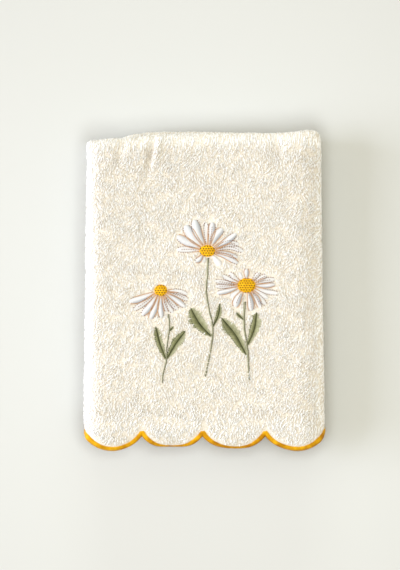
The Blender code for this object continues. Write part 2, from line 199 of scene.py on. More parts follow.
# %% Lay the strip back and forth
def fold_along(v, height):
    top, second, third, last = PANEL_MIDDLES
    angle = np.maximum(FLAP_LENGTH - v, 0) / FLAP_RADIUS
    radius = FLAP_RADIUS + height
    y = np.where(v < FLAP_LENGTH, FLAP_START_Y - radius * np.sin(angle), FLAP_START_Y + v - FLAP_LENGTH)
    z = top + height - radius * (1 - np.cos(angle))
    turns = [
        (FIRST_FOLD_V, FIRST_FOLD_Y, 1, top, second),
        (LOWER_FOLD_V, LOWER_FOLD_Y, -1, second, third),
        (SECOND_FOLD_V, SECOND_FOLD_Y, 1, third, last),
    ]
    for start, fold_y, way, above, below in turns:
        radius = TURN + way * height
        angle = np.clip((v - start) / TURN, 0, math.pi)
        rest = np.maximum(v - start - FOLD_ARC, 0)
        past = v >= start
        y = np.where(past, fold_y + way * (radius * np.sin(angle) - rest), y)
        z = np.where(past, above - TURN + radius * np.cos(angle), z)
    return y, z


def curl_hem(u, v, n):
    """Bends the lowest millimetres of the front end down, each scallop by its own amount."""
    bend = soft_table(HEM_CURL, u, 1)
    radius = CURL_LENGTH / bend
    angle = np.clip(CURL_LENGTH - v, 0, None) / radius
    low = v < CURL_LENGTH
    curled_v = CURL_LENGTH - (radius + n) * np.sin(angle)
    curled_n = (radius + n) * np.cos(angle) - radius
    return np.where(low, curled_v, v), np.where(low, curled_n, n)


print("height of the stack", round(STACK_HEIGHT, 4))

# %% [markdown]
# Last, the stack settles: its sides roll down, its top edge wanders, and creases run down from it. The real
# towel has soft dimples as well, which come from slow noise. The creases are sharper than the dimples, so
# each of them is listed one by one, as a trough with a low ridge beside it.

# %% Let the stack settle
def crease_depth(x, y):
    """How far the creases lower the cloth. Each is a soft trough with a low ridge on its right."""
    depth = np.zeros_like(x)
    for top_x, drift, deep, half_width, end_y in CREASES:
        down = np.clip((CREASE_TOP - y) / (CREASE_TOP - end_y), 0, 1)
        across = (x - top_x - drift * down) / half_width
        trough = np.exp(-(across**2)) - 0.4 * np.exp(-((across - 1.9) ** 2))
        depth = depth + deep * smooth((1 - down) / 0.6) * trough
    return depth


def settle(x, y, z):
    share = z / STACK_HEIGHT
    upper = smooth((share - 0.38) / 0.24)
    first = soft_table(TOP_EDGE, x, 1)
    second = soft_table(TOP_EDGE, x, 2)
    y = y + (second + (first - second) * upper) * smooth((y - 20 * MM) / (90 * MM))
    roll = np.where(x < 0, LEFT_ROLL, RIGHT_ROLL)
    into = np.clip((np.abs(x) - SIDE_LIMIT + roll) / roll, 0, 1)
    swell = SWELL * np.sin(x / (21 * MM) + 0.7) * np.sin(y / (27 * MM) + 0.4)
    z = z * (1 - SIDE_DROP * into * into) + swell * share - crease_depth(x, y) * share**2
    at_hem = smooth((-94 * MM - y) / (18 * MM))
    return x + soft_table(HEM_SHIFT, x, 1) * at_hem, y + soft_table(HEM_SHIFT, x, 2) * at_hem, z


def soft_noise(u, v, cell, seed):
    """Slow noise between -1 and 1 on the flat cloth, with hills and hollows about a cell wide."""
    random = np.random.default_rng(seed)
    values = random.uniform(-1, 1, (128, 256))
    across, along = u / cell + 64, v / cell + 8
    i, j = np.floor(across).astype(int), np.floor(along).astype(int)
    s, t = smooth(across - i), smooth(along - j)
    i, j = i % 127, j % 255
    low = values[i, j] * (1 - s) + values[i + 1, j] * s
    high = values[i, j + 1] * (1 - s) + values[i + 1, j + 1] * s
    return low * (1 - t) + high * t


DIMPLE = 0.55 * MM


def dimples(u, v):
    big = soft_noise(u, v, 17 * MM, 3)
    small = soft_noise(u + 0.3, v, 7.5 * MM, 4)
    return DIMPLE * (0.65 * big + 0.45 * small) * smooth((v - 6 * MM) / (20 * MM))


def fold(points):
    """Folds flat points, an array with columns u, v and n, and returns them in the model's frame."""
    u, v, n = points.T
    n = n + dimples(u, v)
    v, n = curl_hem(u, v, n)
    x, height = fold_across(u, v, n)
    y, z = fold_along(v, height)
    x, y, z = settle(x, y, z)
    return np.stack([x - MIDDLE.x, y - MIDDLE.y, np.maximum(z, 0)], axis=1)


print("the front begins to bend down at", fold(np.array([[0, FLAP_LENGTH, 0]])).round(4))

# %% [markdown]
# Each piece ends in the same way: its points are folded, its faces are turned outwards, and it becomes an
# object that rides on the model's only body.

# %% Helpers for pieces
made_pieces = {}


def new_object(name, data):
    made = bpy.data.objects.new(name, data)
    bpy.context.scene.collection.objects.link(made)
    return made


def finish_piece(mesh, name, look, nodes=()):
    """Makes the object from a mesh whose points are in place."""
    mesh.shade_smooth()
    mesh.materials.append(look)
    piece = new_object(name, mesh)
    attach(piece, "root")
    if nodes:
        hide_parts(*nodes)
    made_pieces[name] = piece
    print(name, len(mesh.polygons), "faces")
    return piece


def bmesh_to_mesh(work, name):
    bmesh.ops.recalc_face_normals(work, faces=work.faces[:])
    mesh = bpy.data.meshes.new(name)
    work.to_mesh(mesh)
    work.free()
    return mesh


def work_points(work):
    return np.array([vertex.co[:] for vertex in work.verts])


def move_points(work, places):
    for vertex, place in zip(work.verts, places):
        vertex.co = place


def add_attribute(mesh, name, values):
    layer = mesh.attributes.new(name, "FLOAT", "POINT")
    layer.data.foreach_set("value", values.astype(np.float32).ravel())


def finish_flat(work, name, look, slot, nodes=(), **attributes):
    """Folds a piece that is still flat and finishes it. An attribute has one value for each point."""
    flat = work_points(work)
    mesh = bmesh_to_mesh(work, name)
    for kind, values in attributes.items():
        add_attribute(mesh, kind, values)
    mesh.vertices.foreach_set("co", fold(flat).ravel())
    mesh.update()
    return finish_piece(mesh, name, look, nodes)

# %% [markdown]
# Threads and loops are copied from one small pattern each, because a towel has tens of thousands of them. A
# pattern is a strand that stands along Z from 0 to 1, with a radius of 1. The copies are joined into one
# mesh, which is much quicker than an object for each.

# %% Copies of a pattern
def strand_pattern(sides, rings):
    """A closed strand: a small circle, extruded from ring to ring. rings: list of (z, radius)."""
    work = bmesh.new()
    bmesh.ops.create_circle(work, cap_ends=True, segments=sides, radius=rings[0][1])
    work.faces.ensure_lookup_table()
    end = work.faces[0]
    bmesh.ops.translate(work, verts=work.verts[:], vec=(0, 0, rings[0][0]))
    for (old_z, old_radius), (z, radius) in zip(rings, rings[1:]):
        grown = bmesh.ops.extrude_face_region(work, geom=[end], use_keep_orig=(old_z == rings[0][0]))
        tip = [item for item in grown["geom"] if isinstance(item, bmesh.types.BMVert)]
        end = [item for item in grown["geom"] if isinstance(item, bmesh.types.BMFace)][0]
        bmesh.ops.translate(work, verts=tip, vec=(0, 0, z - old_z))
        bmesh.ops.scale(work, verts=tip, vec=(radius / old_radius, radius / old_radius, 1))
    bmesh.ops.recalc_face_normals(work, faces=work.faces[:])
    work.verts.index_update()
    points = work_points(work)
    faces = [[vertex.index for vertex in face.verts] for face in work.faces]
    work.free()
    return points, faces


def copied_mesh(name, points, faces):
    """One mesh from many copies of a pattern. points has a row of the pattern's points for each copy."""
    copies, size = points.shape[:2]
    counts = np.tile([len(face) for face in faces], copies)
    corners = np.concatenate([np.array(face) for face in faces])
    loops = (corners[None, :] + (np.arange(copies) * size)[:, None]).ravel()
    mesh = bpy.data.meshes.new(name)
    mesh.vertices.add(copies * size)
    mesh.vertices.foreach_set("co", points.reshape(-1))
    mesh.loops.add(len(loops))
    mesh.loops.foreach_set("vertex_index", loops.astype(np.int32))
    mesh.polygons.add(len(counts))
    mesh.polygons.foreach_set("loop_start", np.concatenate([[0], np.cumsum(counts)[:-1]]).astype(np.int32))
    mesh.update(calc_edges=True)
    mesh.validate()
    return mesh

# %% [markdown]
# ## Materials
# The materials come next. Each one is a few nodes on a Principled shader. These helpers make the nodes that
# cloth and threads share: a ramp of colours, a mixture of two, noise, a bump, and a value that is read from
# the mesh.

# %% Helpers for materials
def new_look(name, roughness, sheen=0.0, sheen_roughness=0.5, shine=0.3):
    look = bpy.data.materials.new(name)
    look.use_nodes = True
    tree = look.node_tree
    shader = tree.nodes["Principled BSDF"]
    shader.inputs["Roughness"].default_value = roughness
    shader.inputs["Sheen Weight"].default_value = sheen
    shader.inputs["Sheen Roughness"].default_value = sheen_roughness
    shader.inputs["Specular IOR Level"].default_value = shine
    return look, tree, shader


def ramp(tree, value, stops):
    made = tree.nodes.new("ShaderNodeValToRGB")
    tree.links.new(value, made.inputs["Fac"])
    elements = made.color_ramp.elements
    while len(elements) < len(stops):
        elements.new(0.5)
    for element, (place, colour) in zip(elements, stops):
        element.position = place
        element.color = (*colour, 1)
    return made.outputs["Color"]


def mixed(tree, kind, factor, first, second):
    made = tree.nodes.new("ShaderNodeMix")
    made.data_type = "RGBA"
    made.blend_type = kind
    for socket, value in (("Factor", factor), ("A", first), ("B", second)):
        target = next(found for found in made.inputs if found.name == socket and found.enabled)
        if isinstance(value, (int, float)):
            target.default_value = value
        elif isinstance(value, tuple):
            target.default_value = (*value, 1)
        else:
            tree.links.new(value, target)
    return next(found for found in made.outputs if found.enabled)


def noise(tree, scale, detail=3.0):
    place = tree.nodes.new("ShaderNodeTexCoord")
    made = tree.nodes.new("ShaderNodeTexNoise")
    made.inputs["Scale"].default_value = scale
    made.inputs["Detail"].default_value = detail
    tree.links.new(place.outputs["Object"], made.inputs["Vector"])
    return made.outputs["Fac"]


def bumped(tree, shader, height, distance):
    made = tree.nodes.new("ShaderNodeBump")
    made.inputs["Distance"].default_value = distance
    tree.links.new(height, made.inputs["Height"])
    tree.links.new(made.outputs["Normal"], shader.inputs["Normal"])


def twisted(tree, shader):
    """The fine twist of embroidery thread."""
    bumped(tree, shader, noise(tree, 2600, 1), 0.06 * MM)


def attribute(tree, name):
    made = tree.nodes.new("ShaderNodeAttribute")
    made.attribute_name = name
    return made.outputs["Fac"]


def coloured(tree, shader, colour):
    tree.links.new(colour, shader.inputs["Base Color"])

# %% [markdown]
# Cotton terry is matt and bright, with shadow between its loops. Part of that shadow is painted: each loop
# is painted a little darker and browner towards its root, and no two loops are quite the same shade, so the
# pile's colour reads two attributes of the mesh: how far up its loop a point is, and the loop's own tone.
# The tone also carries painted shade in the creases and painted light on the rolled sides and the top fold.
# Embroidery thread is smoother and shines along its length.

# %% Cloth and thread
def pile_look():
    look, tree, shader = new_look("cream_loops", 0.95, 0.25, 0.6)
    # root: painted shade, the colour of the gaps between the loops, laid on the lower part of each loop
    root = (0.60, 0.50, 0.38)
    tones = [(0, (0.88, 0.855, 0.795)), (0.5, (0.97, 0.98, 0.97)), (1, (0.99, 0.995, 0.995))]
    tone = ramp(tree, attribute(tree, "tone"), tones)
    reach = ramp(tree, attribute(tree, "reach"), [(0.0, (0, 0, 0)), (0.7, (1, 1, 1))])
    coloured(tree, shader, mixed(tree, "MIX", reach, root, tone))
    return look


def ground_look():
    look, tree, shader = new_look("cream_ground", 0.95, 0.2)
    fine = noise(tree, 900, 2)
    # the ground shows only between the loops: its colour is partly its own weave and partly painted shade of
    # the gaps, and the plain end without pile is paler
    weave_and_gap_shade = ramp(tree, fine, [(0.35, (0.70, 0.65, 0.56)), (0.7, (0.90, 0.87, 0.80))])
    coloured(tree, shader, mixed(tree, "MIX", attribute(tree, "plain_end"), weave_and_gap_shade, (0.93, 0.91, 0.86)))
    bumped(tree, shader, fine, 0.5 * MM)
    return look


def thread_look(name, dark, light, roughness, scale, shine=0.3):
    look, tree, shader = new_look(name, roughness, shine=shine)
    coloured(tree, shader, ramp(tree, noise(tree, scale), [(0.3, dark), (0.7, light)]))
    twisted(tree, shader)
    return look


def gold_look():
    """Golden thread, with painted shade that makes it browner along the band's outer edge, except towards
    the left end.
    """
    look = thread_look("golden_thread", (0.49, 0.20, 0.002), (0.90, 0.50, 0.010), 0.5, 160, 0.12)
    tree = look.node_tree
    shader = tree.nodes["Principled BSDF"]
    thread = shader.inputs["Base Color"].links[0].from_socket
    coloured(tree, shader, mixed(tree, "MULTIPLY", attribute(tree, "turned"), thread, (0.66, 0.55, 0.5)))
    return look


def petal_look():
    """White satin that is painted blue-grey on its shaded side, as painted shade, and tan at its root."""
    look, tree, shader = new_look("white_thread", 0.45)
    tones = [(0, (0.42, 0.455, 0.51)), (0.5, (0.60, 0.62, 0.65)), (1, (0.75, 0.75, 0.74))]
    white = ramp(tree, attribute(tree, "light"), tones)
    near = ramp(tree, attribute(tree, "along"), [(0.05, (1, 1, 1)), (0.22, (0, 0, 0))])
    coloured(tree, shader, mixed(tree, "MIX", near, white, (0.70, 0.50, 0.33)))
    twisted(tree, shader)
    return look


def leaf_look():
    """Green threads, dark beside the midrib and light at the leaf's ragged edge."""
    look, tree, shader = new_look("leaf_thread", 0.5)
    tones = [(0, (0.16, 0.17, 0.065)), (0.3, (0.31, 0.32, 0.17))]
    tones += [(0.7, (0.43, 0.435, 0.28)), (1, (0.60, 0.60, 0.44))]
    green = ramp(tree, attribute(tree, "tone"), tones)
    mottled = ramp(tree, noise(tree, 420), [(0.3, (0.8, 0.8, 0.8)), (0.7, (1.1, 1.1, 1.1))])
    coloured(tree, shader, mixed(tree, "MULTIPLY", 1.0, green, mottled))
    return look


looks = {
    "loops": pile_look(),
    "ground": ground_look(),
    "gold": gold_look(),
    "white": petal_look(),
    "outline": thread_look("tan_thread", (0.46, 0.24, 0.11), (0.64, 0.40, 0.23), 0.6, 300),
    "dots": thread_look("mauve_thread", (0.20, 0.10, 0.06), (0.33, 0.185, 0.12), 0.6, 300),
    "disc": thread_look("yellow_thread", (0.68, 0.335, 0.003), (0.88, 0.525, 0.01), 0.5, 350, 0.12),
    "knot": thread_look("needle_hole_shade", (0.07, 0.022, 0.002), (0.14, 0.05, 0.004), 0.6, 400),
    "stem": thread_look("stem_thread", (0.24, 0.24, 0.14), (0.38, 0.375, 0.25), 0.5, 300),
    "leaf": leaf_look(),
    "dark_green": thread_look("dark_green_thread", (0.035, 0.04, 0.012), (0.10, 0.105, 0.04), 0.6, 300),
}
print("materials:", *looks)

# %% [markdown]
# The scalloped line is a row of circle arcs that meet in points. Its pitch is the model's, but it is a
# little deeper here, because its tips will curl down. The sheet itself starts as a plain grid, from
# Blender's own grid operator. Its lowest rows are slid onto the scalloped line, and then the whole grid
# gets its thickness and is folded.

# %% The scalloped line and the terry sheet
SCALLOPS = 11
SCALLOP_PITCH = CLOTH_WIDTH / SCALLOPS
SCALLOP_DEPTH = 11.4 * MM
SCALLOP_RADIUS = ((SCALLOP_PITCH / 2) ** 2 + SCALLOP_DEPTH**2) / (2 * SCALLOP_DEPTH)


def edge_line(u, inset):
    """v of the line that lies inset from the tips of the scallops."""
    from_middle = np.mod(u, SCALLOP_PITCH) - SCALLOP_PITCH / 2
    return SCALLOP_RADIUS - np.sqrt((SCALLOP_RADIUS - inset) ** 2 - from_middle**2)


# The sheet's grid is finer in the folds: number of columns or rows so far, and the place they reach
SHEET_COLUMNS = np.array(
    [(0, -250), (28, -96), (42, -84), (57, -50), (72, -30), (102, 85), (118, 101), (146, 250)]
)
SHEET_ROWS = np.array(
    [(0, 0), (12, 24), (62, 225), (76, 246), (120, 437), (134, 458), (180, 652), (194, 673), (238, 863.9)]
)
SHEET_HALF = 1.1 * MM
SHEET_INSET = 2.4 * MM
HEM_ROWS = 24 * MM  # rows up to here follow the scallops
BARE_END = 0.45 * MM  # how much thicker the end without pile is


def make_sheet():
    columns, rows = SHEET_COLUMNS[-1, 0], SHEET_ROWS[-1, 0]
    work = bmesh.new()
    bmesh.ops.create_grid(work, x_segments=int(columns), y_segments=int(rows), size=0.5)
    across, along, _ = work_points(work).T + 0.5
    u = np.interp(across * columns, *SHEET_COLUMNS.T) * MM
    v = np.minimum(np.interp(along * rows, *SHEET_ROWS.T) * MM, CLOTH_LENGTH)
    v = v + edge_line(u, SHEET_INSET) * np.clip(1 - v / HEM_ROWS, 0, 1)
    move_points(work, np.stack([slide(u, v), v, np.full_like(u, -SHEET_HALF)], axis=1))
    made = bmesh.ops.extrude_face_region(work, geom=work.faces[:], use_keep_orig=True)
    for item in made["geom"]:
        if isinstance(item, bmesh.types.BMVert):
            pressed = smooth((item.co.y - SECOND_FOLD_V - FOLD_ARC + 6 * MM) / (16 * MM))
            item.co.z = SHEET_HALF + BARE_END * float(pressed)
    plain = smooth((work_points(work)[:, 1] - CLOTH_LENGTH + 30 * MM) / (10 * MM))
    return finish_flat(work, "terry_sheet", looks["ground"], "terry", ["towel_cloth"], plain_end=plain)


terry_sheet = make_sheet()

# %% [markdown]
# ## Camera, floor and light
# The photograph looks straight down on the towel. The camera stands far back with a long lens, because the
# sides of the stack can't be seen there. The light comes from two cool windows far to the left, a low one
# and a high one, so the rolled left side glows and a soft shadow falls to the right. A weaker window stands
# behind the top fold, a small softbox hangs over the front, and a warm room fills the shadow.

# %% Camera, floor and light
CAMERA_DISTANCE = 2.0
SENSOR = 36  # its height in millimetres
VIEW_HEIGHT = 0.4247  # what the photograph shows from top to bottom, in metres
VIEW_MIDDLE = Vector((-3.5 * MM, 2.6 * MM, 0))
WINDOW = (1.6, 1.0)
COOL, WARM = (0.81, 0.84, 0.99), (1.0, 0.89, 0.67)


def add_camera():
    data = bpy.data.cameras.new("camera")
    data.sensor_fit = "VERTICAL"
    data.sensor_height = SENSOR
    data.lens = SENSOR * CAMERA_DISTANCE / VIEW_HEIGHT
    camera = new_object("camera", data)
    camera.location = (*(VIEW_MIDDLE - MIDDLE).xy, CAMERA_DISTANCE + STACK_HEIGHT)
    bpy.context.scene.camera = camera


def add_floor():
    work = bmesh.new()
    bmesh.ops.create_grid(work, x_segments=8, y_segments=8, size=3)
    mesh = bmesh_to_mesh(work, "floor")
    look, tree, shader = new_look("pale_floor", 0.9, shine=0.1)
    greys = [(0.3, (0.635, 0.655, 0.645)), (0.7, (0.645, 0.665, 0.655))]
    coloured(tree, shader, ramp(tree, noise(tree, 3, 2), greys))
    mesh.materials.append(look)
    new_object("floor", mesh)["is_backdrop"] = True


def add_light(name, place, size, power, colour):
    data = bpy.data.lights.new(name, "AREA")
    data.shape = "RECTANGLE"
    data.size, data.size_y = size
    data.energy = power
    data.color = colour
    light = new_object(name, data)
    light.location = place
    light.rotation_euler = (-Vector(place)).to_track_quat("-Z", "Y").to_euler()
    light.visible_camera = False  # the softbox hangs between the camera and the towel
    print(name, "shines from", place)


def add_world(strength, colour):
    world = bpy.data.worlds.new("studio")
    world.use_nodes = True
    back = world.node_tree.nodes["Background"]
    back.inputs["Color"].default_value = (*colour, 1)
    back.inputs["Strength"].default_value = strength
    bpy.context.scene.world = world


add_camera()
add_floor()
add_light("low_window", (-3.96, 0, 1.06), WINDOW, 144, COOL)
add_light("high_window", (-3.14, 0, 2.64), WINDOW, 47, COOL)
add_light("far_window", (0, 3.96, 1.06), WINDOW, 50, (0.94, 1.0, 0.97))
add_light("softbox", (0.02, -0.06, 0.62), (0.24, 0.30), 1.9, (0.98, 1.0, 0.99))
add_world(0.6, WARM)
bpy.context.scene.view_settings.view_transform = "Standard"

# %% [markdown]
# ## The embroidery
# Embroidery of this kind is mostly satin stitching: the machine lays thread after thread across a shape,
# over a little padding. Here a band of it is a grid, rolled into a tube round a curved path and flattened,
# with a ridge for every thread. A plate with a bump map would be lighter, but it would look flat from the
# side.

# %% Satin bands
THREAD = 0.62 * MM


def rolled_grid(long_steps, round_steps):
    """A tube, still as a flat grid, and for each of its points the share along and round the tube."""
    work = bmesh.new()
    bmesh.ops.create_grid(work, x_segments=long_steps, y_segments=round_steps, size=0.5)
    along, around, _ = work_points(work).T + 0.5
    return work, along, around


def ridged(t, steps, ridge):
    """Swells every second ring of a tube a little, so that each thread across it shows as a ridge."""
    return 1 + ridge * np.where(np.round(t * steps).astype(int) % 2 == 0, 1, -1)


def close_tube(work, places):
    move_points(work, places)
    bmesh.ops.remove_doubles(work, verts=work.verts[:], dist=1e-7)


def along_path(path, t):
    """Points and unit directions at t (0 to 1) on a path of x, y points in millimetres."""
    gaps = np.hypot(*np.diff(path, axis=0).T)
    at = np.concatenate([[0], np.cumsum(gaps)]) / gaps.sum()
    x, y = np.interp(t, at, path[:, 0]), np.interp(t, at, path[:, 1])
    ahead, behind = np.clip(t + 0.02, 0, 1), np.clip(t - 0.02, 0, 1)
    dx = np.interp(ahead, at, path[:, 0]) - np.interp(behind, at, path[:, 0])
    dy = np.interp(ahead, at, path[:, 1]) - np.interp(behind, at, path[:, 1])
    size = np.hypot(dx, dy)
    return np.stack([x, y], axis=1), np.stack([dx / size, dy / size], axis=1)


def path_length(path):
    return np.hypot(*np.diff(path, axis=0).T).sum()


def left_of(way):
    """The directions, each rotated a quarter turn to its own left."""
    return np.stack([-way[..., 1], way[..., 0]], axis=-1)


def smooth_path(points, steps=24):
    """A Catmull-Rom curve through the points, as a list of more points."""
    points = np.array(points, float)
    padded = np.vstack([2 * points[0] - points[1], points, 2 * points[-1] - points[-2]])
    found = []
    for k in range(len(points) - 1):
        a, b, c, d = padded[k : k + 4]
        for t in np.arange(steps) / steps:
            curved = (2 * a - 5 * b + 4 * c - d) * t**2 + (3 * b - a - 3 * c + d) * t**3
            found.append(0.5 * (2 * b + (c - a) * t + curved))
    found.append(points[-1])
    return np.array(found)


def flat_place(xy, height):
    """Flat cloth points on the front, from x and y in millimetres and a height above the cloth's middle."""
    return np.stack([xy[:, 0] * MM, FLAP_LENGTH + xy[:, 1] * MM - FLAP_START_Y, height], axis=1)


def satin_band(path, half_width, base, thickness, round_steps=12, thread=THREAD, ridge=0.05):
    """A padded band of satin stitches. half_width is a function of t and gives millimetres."""
    long_steps = max(8, int(2 * path_length(path) * MM / thread))
    work, t, turn = rolled_grid(long_steps, round_steps)
    middle, way = along_path(path, t)
    swell = ridged(t, long_steps, ridge)
    width = half_width(t) * swell
    around = 2 * math.pi * turn
    lift = np.sin(around)
    full = np.minimum(half_width(t) / max(half_width(np.array([0.5]))[0], 1e-6), 1)
    height = base + thickness * np.where(lift > 0, lift, 0.35 * lift) * (0.35 + 0.65 * full) * swell
    close_tube(work, flat_place(middle + left_of(way) * (width * np.cos(around))[:, None], height))
    return work


def join_work(works):
    """Joins several bmeshes into one."""
    whole = bmesh.new()
    for work in works:
        part = bpy.data.meshes.new("part")
        work.to_mesh(part)
        work.free()
        whole.from_mesh(part)
        bpy.data.meshes.remove(part)
    return whole


print("width of a thread", THREAD)

# %% [markdown]
# Each daisy is a ring of satin petals round a dome of knots. Some petals are thick pads, others are flat
# with dotted lines, as real embroidery of this kind mixes them. Every petal is drawn by rule from five
# values: where it points, how far it reaches, its width, its bend and its kind.

# %% Petals
# Daisies: name, middle x, y, half width and half height of the middle
DAISIES = [
    ("middle", 2.0, 28.0, 5.9, 4.5),
    ("right", 31.2, 2.3, 6.9, 5.6),
    ("left", -32.8, -1.4, 4.9, 4.3),
]
# Petals: direction in degrees, reach and width in millimetres, bend to the left, kind
PETALS = {
    "middle": [
        (178, 23, 4.6, -0.04, "flat"), (154, 25.5, 6.0, 0.03, "pad"),
        (131, 25.5, 7.3, 0.06, "pad"), (113, 25.5, 6.8, 0.05, "pad"),
        (93, 21.5, 3.4, 0.0, "flat"), (80, 22, 5.3, -0.03, "pad"),
        (56, 20.5, 6.0, 0.06, "pad"), (31, 25.5, 4.8, -0.05, "pad"),
        (12, 24.5, 4.2, 0.12, "flat"), (-1, 27.5, 3.8, 0.14, "flat"),
        (-12, 23.5, 3.6, 0.05, "pad"), (-22, 25, 4.0, 0.05, "pad"),
        (-48, 15, 4.6, 0.0, "bare"), (-110, 9.5, 3.4, 0.0, "bare"),
        (-137, 12, 4.0, 0.1, "pad"),
    ],
    "right": [
        (90, 12.5, 3.8, 0.0, "pad"), (45, 14, 3.2, 0.0, "flat"),
        (27, 17, 3.6, 0.0, "flat"), (12, 22, 3.6, 0.05, "flat"),
        (2, 21.5, 3.4, -0.05, "pad"), (-14, 25, 3.6, -0.05, "flat"),
        (-31, 19, 3.6, 0.0, "bare"), (-45, 20.5, 3.8, 0.0, "flat"),
        (-59, 20, 4.0, 0.08, "pad"), (-80, 19.5, 5.0, 0.05, "pad"),
        (-118, 18.5, 5.8, -0.06, "pad"), (-142, 15, 3.8, 0.0, "bare"),
        (-165, 23, 3.9, 0.03, "pad"), (182, 23.5, 3.3, 0.0, "flat"),
        (172, 24.5, 3.3, 0.0, "flat"), (157, 20, 3.3, 0.05, "flat"),
        (143, 16, 3.3, 0.05, "flat"), (120, 11.5, 2.8, 0.0, "bare"),
    ],
    "left": [
        (200, 25.5, 5.0, 0.04, "pad"), (216, 25.5, 4.0, 0.02, "flat"),
        (233, 23.5, 5.0, 0.04, "pad"), (250, 23, 4.9, 0.03, "pad"),
        (272, 21, 4.5, -0.04, "pad"), (286, 17, 2.6, 0.0, "flat"),
        (299, 19.5, 3.6, -0.04, "flat"), (312, 19.5, 3.7, -0.04, "flat"),
        (326, 22.5, 4.4, 0.03, "pad"), (341, 22, 3.7, 0.04, "flat"),
        (352, 20.5, 3.7, 0.06, "flat"),
    ],
}
# painted shade: the satin is painted blue-grey where it slopes this way
SHADED_SIDE = np.array([0.88, -0.48])  # satin looks grey where it slopes this way
PETAL_BASE = 1.15 * MM
PETAL_RISE = {"pad": 1.35 * MM, "flat": 0.75 * MM, "bare": 1.0 * MM}
OUTLINE_HEIGHT = 2.4 * MM


def petal_path(x, y, across, up, angle, reach, bend):
    """A petal's curved middle line, from under the flower's middle to its tip."""
    way = np.array([math.cos(angle), math.sin(angle)])
    start = np.array([x, y]) + 0.8 * way * (across, up)
    end = np.array([x, y]) + reach * way
    span = end - start
    return smooth_path([start, (start + end) / 2 + left_of(span) * bend, end], 10)


def petal_width(half, t):
    round_part = np.sin(math.pi * np.clip(t, 0, 1) ** 1.65 * 0.985) ** 0.6
    return half * (0.20 + 0.80 * round_part) * smooth(t / 0.04) * smooth((1 - t) / 0.05) ** 0.5


def petal_shades(work, path, half):
    """For each point of a satin petal, its painted light and shade and how far along the petal it lies, from
    0 to 1.
    """
    xy = work_points(work)[:, :2] / MM - (0, (FLAP_LENGTH - FLAP_START_Y) / MM)
    nearest = np.hypot(*(xy[:, None] - path[None]).transpose(2, 0, 1)).argmin(axis=1)
    across = (xy - path[nearest]) @ SHADED_SIDE / half
    along = nearest / (len(path) - 1)
    return 1 - smooth((across + 0.45) / 1.0) * (1 - 0.4 * along**3), along


print("petals:", {name: len(rows) for name, rows in PETALS.items()})

# %% [markdown]
# The machine then runs tan thread along most petals in small stitches, solid near the flower's middle and
# dotted further out. There are nearly a thousand of them, so they are only noted down here, to be copied
# from one pattern later. The pile has to keep clear of all stitching, so that is noted as well.

# %% Stitch the petals
# Rows of small stitches: length, gap and radius in millimetres
TAN_ROW = (1.5, -0.25, 0.31)
DOTTED_ROW = (0.8, 0.9, 0.38)
MIDDLE_ROW = (0.75, 0.95, 0.36)
MIDDLE_ROW_CHANCE = 0.45

# How far the pile keeps clear of the stitching, in millimetres
PETAL_GAP, DISC_GAP, STEM_GAP, LEAF_GAP = 0.5, 0.2, 0.4, 0.5
stitched = []  # places and widths that the pile keeps clear of: x, y, radius in millimetres


def edge_path(path, half, side):
    """The line of tan stitches beside a petal."""
    t = np.linspace(0.03, 0.95, 30)
    middle, way = along_path(path, t)
    return middle + left_of(way) * (side * (petal_width(half, t) + 0.1))[:, None]


stitches = []  # small stitches: x, y, direction x, y, length, radius in millimetres, height in metres, kind


def run_stitches(path, row, height, kind, first=0.0, last=1.0):
    """A row of small stitches along a path, from the first to the last share of it."""
    length, gap, radius = row
    total = path_length(path)
    at = first * total
    while at < last * total - 0.2:
        place, way = along_path(path, np.array([min(1, (at + length / 2) / total)]))
        stitches.append((*place[0], *way[0], length, radius, height, kind))
        at += length + gap


def keep_clear(path, half_widths):
    for (x, y), half in zip(path, half_widths):
        stitched.append((x, y, half))


def stitch_lines(path, half, kind, random):
    """Tan lines beside a petal, solid near the flower's middle and dotted further out."""
    for side in (1, -1):
        line = edge_path(path, half, side)
        solid = random.uniform(0.55, 1.0) if kind == "pad" else random.uniform(0.1, 0.45)
        run_stitches(line, TAN_ROW, OUTLINE_HEIGHT, "outline", 0.04, solid)
        run_stitches(line, DOTTED_ROW, OUTLINE_HEIGHT, "dots", solid + 0.04, 1)
    if random.uniform() < MIDDLE_ROW_CHANCE:
        run_stitches(path[4:-4], MIDDLE_ROW, PETAL_BASE + PETAL_RISE[kind] + 0.2 * MM, "dots")


for name, *sizes in DAISIES:
    random = np.random.default_rng(len(name))
    pads, light, along = [], [], []
    for angle, reach, width, bend, kind in PETALS[name]:
        path = petal_path(*sizes, math.radians(angle), reach, bend)
        half = width / 2
        pad = satin_band(path, lambda t: petal_width(half, t), PETAL_BASE, PETAL_RISE[kind])
        pads.append(pad)
        bright, share = petal_shades(pad, path, half)
        # the pads get the painted shade in full, flat and bare petals only a little of it
        light.append(bright if kind == "pad" else np.maximum(bright, 0.85))
        along.append(share)
        if kind != "bare":
            stitch_lines(path, half, kind, random)
        keep_clear(path, petal_width(half, np.linspace(0, 1, len(path))) + PETAL_GAP)
    whole, nodes = join_work(pads), [f"petals_{name}"]
    shades = {"light": np.concatenate(light), "along": np.concatenate(along)}
    finish_flat(whole, f"satin_petals_{name}", looks["white"], "white_thread", nodes, **shades)

# %% [markdown]
# The middle of a daisy is a dome of golden thread. It is a flattened sphere, and the needle holes between
# its knots are painted shade: rows of small dark beads, set on a staggered grid, that follow the dome's
# height.

# %% Flower middles
DOME_BASE = 1.3 * MM
DOME_RISE = 1.9 * MM
DOME_BUMPS, BUMP_DEPTH = 3.4, 0.06  # the thread's own unevenness: waves in a millimetre, share of the radius

# Dark beads, painted shade in the holes between knots: pitch, direction, length and radius in millimetres
HOLE_PITCH, HOLE_WAY, HOLE_LENGTH, HOLE_RADIUS = 1.95, (0.25, 0.97), 0.95, 0.52


